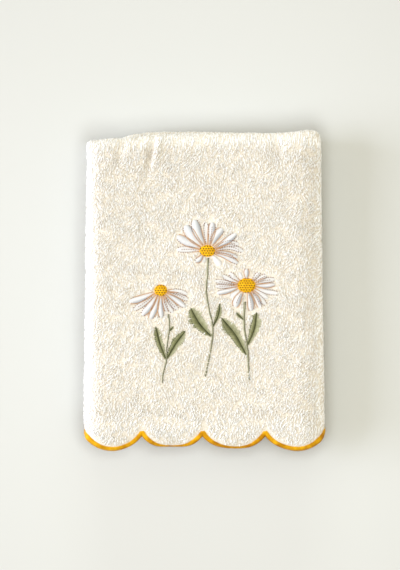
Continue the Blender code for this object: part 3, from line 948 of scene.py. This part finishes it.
def make_disc(name, x, y, across, up):
    work = bmesh.new()
    bmesh.ops.create_uvsphere(work, u_segments=48, v_segments=28, radius=1)
    points = work_points(work)
    waves = np.sin(points[:, 0] * across * DOME_BUMPS) * np.sin(points[:, 1] * up * DOME_BUMPS)
    shape = points * (1 + BUMP_DEPTH * waves[:, None])
    height = DOME_BASE + DOME_RISE * np.where(points[:, 2] > 0, shape[:, 2], 0.3 * shape[:, 2])
    move_points(work, flat_place((x, y) + shape[:, :2] * (across, up), height))
    finish_flat(work, f"knotted_disc_{name}", looks["disc"], "yellow_thread", [f"disc_{name}"])
    random = np.random.default_rng(len(name) + 30)
    count = int(across * 2 / HOLE_PITCH) + 2
    for row in range(-count, count + 1):
        for column in range(-count, count + 1):
            dx = (column + 0.5 * (row % 2)) * HOLE_PITCH + random.uniform(-0.12, 0.12)
            dy = row * HOLE_PITCH * 0.86 + random.uniform(-0.12, 0.12)
            off = math.hypot(dx / across, dy / up)
            if off < 0.93:
                rise = DOME_BASE + DOME_RISE * math.sqrt(1 - off * off) + 0.1 * MM
                stitches.append((x + dx, y + dy, *HOLE_WAY, HOLE_LENGTH, HOLE_RADIUS, rise, "knot"))
    keep_clear([(x, y)], [max(across, up) + DISC_GAP])


for row in DAISIES:
    make_disc(*row)

# %% [markdown]
# A leaf is two rows of slanting threads that meet in a dark middle line, and its edge is ragged, because
# the threads end at different lengths. So each thread is noted down by itself, and only the middle line is
# a satin band. A cut-out plate would have an edge that is too clean.

# %% Leaves
# Leaves: name, base x, y, tip x, y, width, bow to the left of the way from base to tip
LEAVES = [
    ("middle_left", 5.0, -36.0, -10.8, -13.9, 9.8, 0.8),
    ("middle_right", 6.2, -28.6, 11.5, -10.9, 3.4, -0.6),
    ("right_left", 31.2, -50.0, 11.9, -21.3, 8.8, -0.8),
    ("right_right", 31.8, -42.6, 38.8, -17.3, 7.2, -0.8),
    ("right_bud", 29.0, -23.4, 23.4, -18.0, 2.4, 0.0),
    ("left_left", -28.8, -53.0, -36.6, -27.9, 5.6, 0.4),
    ("left_right", -28.2, -52.6, -14.0, -31.2, 6.8, 0.4),
    ("left_bud", -26.6, -32.0, -23.2, -28.6, 1.8, 0.0),
]
# Satin bands: base, thickness, steps round, width of a thread, ridge
STEM_BAND = (1.35 * MM, 0.95 * MM, 8, 0.7 * MM, 0.12)
RIB_BAND = (1.85 * MM, 0.5 * MM, 8, 0.8 * MM, 0.1)

# Rows of dark green stitches: length, gap and radius in millimetres
STEM_ROW = (1.3, 0.35, 0.30)
RIB_ROW = (1.2, 0.05, 0.46)
BUD_ROW = (1.2, 0.05, 0.3)
LEAF_EDGE_ROW = (0.9, 0.8, 0.3)
NARROW = 3  # a leaf up to this wide is a bud

THREAD_SPACING, THREAD_RADIUS = 0.42, 0.36  # of the threads of a leaf, in millimetres
leaf_rows = []  # threads: start x, y, end x, y, radius in millimetres, height at start, at end, tone offset


def beside(path, distance):
    """The path moved to its own left, by one distance or by one for each of its points."""
    _, way = along_path(path, np.linspace(0, 1, len(path)))
    return path + left_of(way) * np.reshape(distance, (-1, 1))


def leaf_half(width, t):
    return width / 2 * np.sin(math.pi * np.clip(t, 0, 1) ** 1.2) ** 0.75


def make_leaf(name, base_x, base_y, tip_x, tip_y, width, bow, random):
    base, tip = np.array([base_x, base_y]), np.array([tip_x, tip_y])
    span = tip - base
    normal = left_of(span) / np.hypot(*span)
    path = smooth_path([base, (base + tip) / 2 + normal * bow * 2, tip], 12)
    count = int(np.hypot(*span) / THREAD_SPACING)
    for side in (1, -1):
        teeth = random.uniform(0.72, 1.2, count // 4 + 2)
        for k in range(count):
            t = np.array([0.02 + 0.93 * k / count])
            place, way = along_path(path, t)
            out = left_of(way[0]) * side
            saw = teeth[k // 4] * (1.15 - 0.11 * (k % 4))
            reach = leaf_half(width, t + 0.05)[0] * saw * random.uniform(0.94, 1.06) + 0.2
            end = place[0] + out * reach + way[0] * reach * 0.75
            paler = 0.16 if out[0] - 0.5 * out[1] > 0 else -0.12
            leaf_rows.append((*place[0], *end, THREAD_RADIUS, 1.75 * MM, 1.55 * MM, paler))
    keep_clear(path, leaf_half(width, np.linspace(0, 1, len(path))) + LEAF_GAP)
    run_stitches(path[1:-1], RIB_ROW if width > NARROW else BUD_ROW, 2.4 * MM, "dark_green")
    if width > NARROW:
        shaded_side = -1 if normal @ (1, -0.5) > 0 else 1
        edge = beside(path, shaded_side * 0.85 * leaf_half(width, np.linspace(0.05, 1, len(path))))
        run_stitches(edge[4:-1], LEAF_EDGE_ROW, 2.0 * MM, "dark_green")

    def rib_half(t):
        return (0.25 + 0.2 * np.sin(math.pi * t)) * smooth(t / 0.03) * smooth((1 - t) / 0.05)

    return satin_band(path[1:], rib_half, *RIB_BAND)


leaf_random = np.random.default_rng(12)
midribs = [make_leaf(*row, leaf_random) for row in LEAVES]
finish_flat(join_work(midribs), "leaf_midribs", looks["dark_green"], "green_thread")
print("threads in the leaves:", len(leaf_rows))

# %% [markdown]
# A stem is a narrow satin band too, but an uneven one. Towards its foot it breaks into single stitches, and
# darker stitches run down its right side.

# %% Stems
# Stems: name, width, points from the flower down
STEMS = [
    (
        "middle",
        1.15,
        [(2.4, 23), (1.8, 8), (1, -1), (3, -15), (5.6, -27), (5.6, -37), (3.4, -51), (0.2, -65)],
    ),
    ("right", 1.45, [(29.8, -9.8), (29.2, -23), (29.6, -31), (31.4, -42.5), (32.2, -52), (33, -68)]),
    ("left", 0.95, [(-27.0, -19.0), (-26.4, -30), (-28.2, -42.5), (-28.6, -53), (-30.8, -62), (-31.8, -70)]),
]


def make_stem(name, width, route):
    random = np.random.default_rng(len(name) + 50)
    path = smooth_path(route, 8)
    path = path + random.uniform(-0.16, 0.16, path.shape)
    uneven = random.uniform(0.7, 1.3, 40)

    def half(t):
        wander = np.interp(t, np.linspace(0, 1, len(uneven)), uneven)
        thinner = 1 - 0.35 * np.clip(t, 0, 1) ** 3
        return width / 2 * wander * thinner * smooth(t / 0.02) * smooth((1 - t) / 0.02)

    total = path_length(path)
    bands, at = [], 0.0
    while at < total - 1:
        foot = smooth((at / total - 0.72) / 0.2)  # towards the foot the band breaks into single stitches
        length = min(total - at, (26 if foot < 0.05 else 4.5 - 2.5 * foot) * random.uniform(0.8, 1.2))
        part, _ = along_path(path, np.linspace(at, at + length, 12) / total)
        bands.append(satin_band(part, half, *STEM_BAND))
        at += length + 0.1 + 0.8 * float(foot)
    finish_flat(join_work(bands), f"satin_stem_{name}", looks["stem"], "green_thread", [f"stem_{name}"])
    run_stitches(beside(path, width * 0.42), STEM_ROW, 2.25 * MM, "dark_green")
    keep_clear(path, np.full(len(path), width / 2 + STEM_GAP))


for row in STEMS:
    make_stem(*row)

# %% [markdown]
# The threads of the leaves are copies of one strand. Each copy is stretched from its start to its end, and
# gets lighter towards the edge of its leaf.

# %% Threads of the leaves
THREAD_PATTERN = strand_pattern(4, [(0, 0.7), (0.3, 1), (0.75, 0.95), (1, 0.45)])


def lay_threads(rows, pattern):
    """Copies the strand pattern so that each thread runs from its start to its end, with a slight arch."""
    points, faces = pattern
    rows = np.array([row[:7] for row in rows])
    start, end = rows[:, 0:2], rows[:, 2:4]
    along = points[:, 2][None, :, None]
    span = end - start
    side = left_of(span) / np.hypot(*span.T)[:, None]
    off = points[:, 0][None, :, None] * rows[:, 4][:, None, None]
    xy = start[:, None] + span[:, None] * along + side[:, None] * off
    rise = rows[:, 5:6] + (rows[:, 6:7] - rows[:, 5:6]) * points[:, 2] ** 2
    rise = rise + points[:, 1] * rows[:, 4:5] * MM * 0.9
    flat = flat_place(xy.reshape(-1, 2), rise.reshape(-1))
    return fold(flat).reshape(len(rows), -1, 3), faces


points, faces = lay_threads(leaf_rows, THREAD_PATTERN)
leaf_mesh = copied_mesh("leaf_threads", points, faces)
spread = np.random.default_rng(5).uniform(-0.1, 0.1, len(leaf_rows))
own_tone = np.array([row[7] for row in leaf_rows]) + spread
tone = 0.05 + 0.75 * THREAD_PATTERN[0][:, 2][None, :] + own_tone[:, None]
add_attribute(leaf_mesh, "tone", np.clip(tone, 0, 1))
leaf_nodes = [f"leaf_{row[0]}" for row in LEAVES]
finish_piece(leaf_mesh, "leaf_threads", looks["leaf"], leaf_nodes)

# %% [markdown]
# The small stitches were only noted down so far. Each kind becomes one mesh, with a bead for each stitch: a
# strand with round ends that lies along its path.

# %% Small stitches
BEAD_PATTERN = strand_pattern(4, [(0, 0.35), (0.15, 0.85), (0.5, 1), (0.85, 0.85), (1, 0.35)])


def make_stitches(kind, name):
    rows = []
    for x, y, dx, dy, length, radius, height, of_kind in stitches:
        if of_kind == kind:
            end_x, end_y = dx * length / 2, dy * length / 2
            rows.append((x - end_x, y - end_y, x + end_x, y + end_y, radius, height, height))
    mesh = copied_mesh(name, *lay_threads(rows, BEAD_PATTERN))
    finish_piece(mesh, name, looks[kind])


make_stitches("outline", "petal_outline_stitches")
make_stitches("dots", "petal_dotted_stitches")
# the dark beads on the daisy middles are painted shade for the needle holes
make_stitches("knot", "disc_hole_shade")
make_stitches("dark_green", "stem_side_stitches")

# %% [markdown]
# ## The golden edge
# The scalloped edge is bound with golden thread, laid side by side across it. Here it is a grid rolled into
# a tube that follows the scalloped line, flattened to a band, with a ridge for every thread.

# %% The golden edge
EDGE_HALF = 2.3 * MM  # half of the band's width
EDGE_THICKNESS = 1.6 * MM
EDGE_RIDGE = 0.08
OUTER_WIDENING = 0.5 * MM


def on_outer_scallops(u):
    """1 on the outer scallops, which lie flatter and show more of their golden edge, else 0."""
    return smooth((np.abs(u) - 48 * MM) / (14 * MM))


def make_edge():
    arc = 2 * SCALLOP_RADIUS * math.asin(SCALLOP_PITCH / 2 / SCALLOP_RADIUS)
    long_steps = int(SCALLOPS * arc / (THREAD / 2))
    work, t, turn = rolled_grid(long_steps, 10)
    radius = SCALLOP_RADIUS - EDGE_HALF
    scallops = t * SCALLOPS + 0.5  # it starts and ends in the middle of a scallop
    which = np.clip(np.floor(scallops), 0, SCALLOPS)
    half_angle = math.asin(SCALLOP_PITCH / 2 / radius * 0.999)
    angle = half_angle * (2 * (scallops - which) - 1)
    middle_u = which * SCALLOP_PITCH - CLOTH_WIDTH / 2 + radius * np.sin(angle)
    middle_v = SCALLOP_RADIUS - radius * np.cos(angle)
    swell = ridged(t, long_steps, EDGE_RIDGE)
    around = 2 * math.pi * turn
    wider = OUTER_WIDENING * on_outer_scallops(middle_u)
    near_cusp = np.abs(scallops - np.round(scallops)) * arc / MM
    tight = 0.75 + 0.25 * smooth(near_cusp / 1.2)
    out = (EDGE_HALF + wider) * np.cos(around) * swell * tight - wider
    u, v = middle_u + out * np.sin(angle), middle_v - out * np.cos(angle)
    limit = CLOTH_WIDTH / 2 - 0.2 * MM
    n = EDGE_THICKNESS * np.sin(around) * swell
    close_tube(work, np.stack([np.clip(u, -limit, limit), v, n], axis=1))
    ends = [edge for edge in work.edges if edge.is_boundary]
    bmesh.ops.holes_fill(work, edges=ends, sides=0)
    u, v, _ = work_points(work).T
    # painted shade: the gold is darkened along the band's outer edge, except towards the left end of the
    # edge
    from_centre = np.hypot(np.mod(u, SCALLOP_PITCH) - SCALLOP_PITCH / 2, v - SCALLOP_RADIUS)
    outward = 1 - (SCALLOP_RADIUS - from_centre) / (2 * EDGE_HALF)
    turned = smooth((outward - 0.7) / 0.25) * smooth((u + 75 * MM) / (40 * MM))
    nodes = ["scallop_border"]
    finish_flat(work, "golden_edge", looks["gold"], "gold_thread", nodes, turned=turned)


make_edge()

# %% [markdown]
# ## The pile
# Terry gets its look from thousands of small cotton loops. They lean over, mostly along the towel, and
# clump a little, so light tips lie beside dark gaps. One loop is a three-sided strand. It is copied over
# every part of the sheet's outer face that can be seen, and it bends as it is placed. The loops keep clear
# of the embroidery.

# %% Places for the loops
LOOP_PATTERN = strand_pattern(3, [(0, 0.9), (0.35, 1.05), (0.7, 1.0), (1, 0.55)])
LOOP_PITCH = 1.5 * MM
SIDE_PITCH = 1.85 * MM  # the loops stand further apart where the photograph hardly shows them
LOOP_LENGTH = 3.2 * MM
LOOP_RADIUS = 0.40 * MM
LOOP_RISE = 1.0 * MM
STRAY_SHARE = 0.12  # share of the loops beside the embroidery that fall over it


def loop_places(zones, seed, pitch=LOOP_PITCH):
    """A shaken grid of places on the flat cloth, inside the zones: (low u, high u, low v, high v)."""
    random = np.random.default_rng(seed)
    found = []
    for low_u, high_u, low_v, high_v in zones:
        across = np.arange(low_u, high_u, pitch)
        along = np.arange(max(low_v, 0), high_v, pitch)
        u, v = np.meshgrid(across, along)
        u = u + (np.arange(len(along)) % 2)[:, None] * pitch / 2
        u = u.ravel() + random.uniform(-0.45, 0.45, u.size) * pitch
        v = v.ravel() + random.uniform(-0.45, 0.45, v.size) * pitch
        found.append(np.stack([u, v], axis=1))
    places = np.concatenate(found)
    return places[places[:, 1] > pile_edge(places[:, 0], 5.4 * MM)]


def pile_edge(u, inset):
    """v of the line where the pile begins."""
    return edge_line(u, inset) + 1.3 * MM * on_outer_scallops(u)


def clear_of_stitching(places):
    marks = np.array(stitched)
    x = places[:, 0] / MM
    y = (places[:, 1] - FLAP_LENGTH + FLAP_START_Y) / MM
    clear = np.ones(len(places), bool)
    for start in range(0, len(places), 2000):
        part = slice(start, start + 2000)
        gap = np.hypot(x[part, None] - marks[:, 0], y[part, None] - marks[:, 1]) - marks[:, 2]
        clear[part] = gap.min(axis=1) > 0
    return clear


def chosen_loops(places, seed, random):
    """For the loops that keep clear of embroidery and edge: place, direction, length, rise and radius."""
    count = len(places)
    u, v = places.T
    lean = 0.16 + soft_noise(u, v, 12 * MM, seed + 1) * 0.5 + random.normal(0, 0.25, count)
    up_or_down = np.where(soft_noise(u, v, 6 * MM, seed + 2) + random.normal(0, 0.5, count) > 0, 1, -1)
    along_u, along_v = np.sin(lean) * up_or_down, np.cos(lean) * up_or_down
    length = LOOP_LENGTH * random.uniform(0.6, 1.25, count)
    rise = LOOP_RISE * random.uniform(0.55, 1.35, count) * (1 + 0.25 * soft_noise(u, v, 4 * MM, seed + 3))
    radius = LOOP_RADIUS * random.uniform(0.8, 1.2, count)
    tips = np.stack([u + along_u * length, v + along_v * length], axis=1)
    stray = random.uniform(size=count) < STRAY_SHARE
    keep = clear_of_stitching(places) & (clear_of_stitching(tips) | stray)
    keep &= tips[:, 1] > pile_edge(tips[:, 0], 4.2 * MM)
    return np.array([u, v, along_u, along_v, length, rise, radius])[:, keep, None]


print("a loop has", len(LOOP_PATTERN[1]), "faces")

# %% [markdown]
# A loop stands up from the cloth, leans over and comes down again. The copies are bent on the flat cloth
# and folded with it, so they stand away from every fold as real loops do. On the rolled sides and the top
# fold they lie flatter and are painted paler, as painted light, and in the creases they are painted darker,
# as painted shade.

# %% Bend the loops
def at_the_rim(places):
    """Up to 1 on the rolled sides and the top fold, 0 in front. There the loops lie flat and are painted
    paler, as painted light.
    """
    x, y = places[:, 0] + MIDDLE.x, places[:, 1] + MIDDLE.y
    left, right = 0.7 * smooth((-x - 79 * MM) / (9 * MM)), smooth((x - 82 * MM) / (6 * MM))
    top, hem = smooth((y - 103 * MM) / (11 * MM)), 0.3 * smooth((-y - 92 * MM) / (12 * MM))
    return np.maximum(np.maximum(left, right), np.maximum(top, hem))


def bent_loops(loops, random):
    """Flat points of the loops. Each leans over, rises and comes down again."""
    u, v, along_u, along_v, length, rise, radius = loops
    across, depth, t = LOOP_PATTERN[0].T[:, None]
    run = length * t**1.35
    wave = 0.22 * MM * random.uniform(-1, 1, u.shape) * np.sin(math.pi * t * 1.3)
    side = across * radius + wave
    top = depth * radius
    back = top * np.cos(2.0 * t) * 0.8
    flat_u = u + along_u * run + along_v * side - along_u * back
    flat_v = v + along_v * run - along_u * side - along_v * back
    flat_n = SHEET_HALF - 0.15 * MM + rise * np.sin(2.25 * t) + top * np.sin(1.7 * t)
    return np.stack([flat_u, flat_v, flat_n], axis=2)


def make_pile(name, zones, seed, pitch=LOOP_PITCH):
    random = np.random.default_rng(seed + 100)
    loops = chosen_loops(loop_places(zones, seed, pitch), seed, random)
    u, v = loops[:2, :, 0]
    count = len(u)
    bases = fold(np.stack([u, v, np.full_like(u, SHEET_HALF)], axis=1))
    rim = at_the_rim(bases)
    loops[5] *= 1 - 0.8 * rim[:, None]  # the loops lie flatter there
    placed = fold(bent_loops(loops, random).reshape(-1, 3)).reshape(count, -1, 3)
    mesh = copied_mesh(name, placed, LOOP_PATTERN[1])
    creased = np.clip(crease_depth(*(bases[:, :2] + MIDDLE[:2]).T) / (2.6 * MM), 0, 1)
    # tone: random for each loop, painted darker in the creases as painted shade, and painted paler on the
    # rim as painted light
    tone = random.normal(0.5, 0.25, count) + 0.15 * soft_noise(u, v, 5 * MM, seed + 4) - 0.8 * creased
    tone = np.clip(tone * (1 - rim) + 0.95 * rim, 0, 1)
    share = LOOP_PATTERN[0][:, 2]
    add_attribute(mesh, "tone", np.repeat(tone, len(share)))
    # reach: raised on the rim, a painted light that hides the darker roots, and lowered in the creases, a
    # painted shade
    add_attribute(mesh, "reach", np.clip(share + (0.7 * rim - 0.2 * creased)[:, None], 0, 1))
    finish_piece(mesh, name, looks["loops"])

# %% [markdown]
# Only the parts of the sheet that can be seen get a pile: the whole front, the folds, and the sides of the
# stack. Loops inside the stack would only make it heavy.

# %% Lay the pile
# Ranges of u: in front, at the back, round the side folds, and beyond them
FRONT, BACK = (-95 * MM, 99 * MM), (-83 * MM, 82 * MM)
ROUND_LEFT, ROUND_RIGHT = (-96 * MM, -83 * MM), (82 * MM, 99 * MM)
UNDER_LEFT, UNDER_RIGHT = (-125 * MM, -96 * MM), (99 * MM, 248 * MM)
# Ranges of v: the underside of the front end, the two folds that show, and the sides of the stack
UNDER_END = (0, 44 * MM)
LOWER_FOLD = (LOWER_FOLD_V - 8 * MM, LOWER_FOLD_V + FOLD_ARC + 8 * MM)
SECOND_FOLD = (SECOND_FOLD_V - 6 * MM, SECOND_FOLD_V + FOLD_ARC + 6 * MM)
FRONT_TOP = FIRST_FOLD_V + FOLD_ARC + 6 * MM
STACK_SIDES = (FRONT_TOP, CLOTH_LENGTH - 2 * MM)

make_pile("front_pile_low", [(*FRONT, 0, 84 * MM)], 21)
make_pile("front_pile_middle", [(*FRONT, 84 * MM, 170 * MM)], 25)
make_pile("front_pile_high", [(*FRONT, 170 * MM, FRONT_TOP)], 22)
make_pile("side_pile", [(*ROUND_LEFT, *STACK_SIDES), (*ROUND_RIGHT, *STACK_SIDES)], 23, SIDE_PITCH)
fold_zones = [(*UNDER_RIGHT, *LOWER_FOLD), (*UNDER_LEFT, *LOWER_FOLD), (*BACK, *SECOND_FOLD)]
fold_zones += [(*UNDER_RIGHT, *UNDER_END), (*UNDER_LEFT, *UNDER_END)]
make_pile("fold_pile", fold_zones, 24, SIDE_PITCH)

# %% [markdown]
# Last, the triangles are counted, and the box round the scene is found beside the model's box.

total = sum(len(face.vertices) - 2 for piece in made_pieces.values() for face in piece.data.polygons)
print("triangles in all", total)
scene_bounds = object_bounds()
sizes = {"cad": cad_bounds, "scene": scene_bounds}
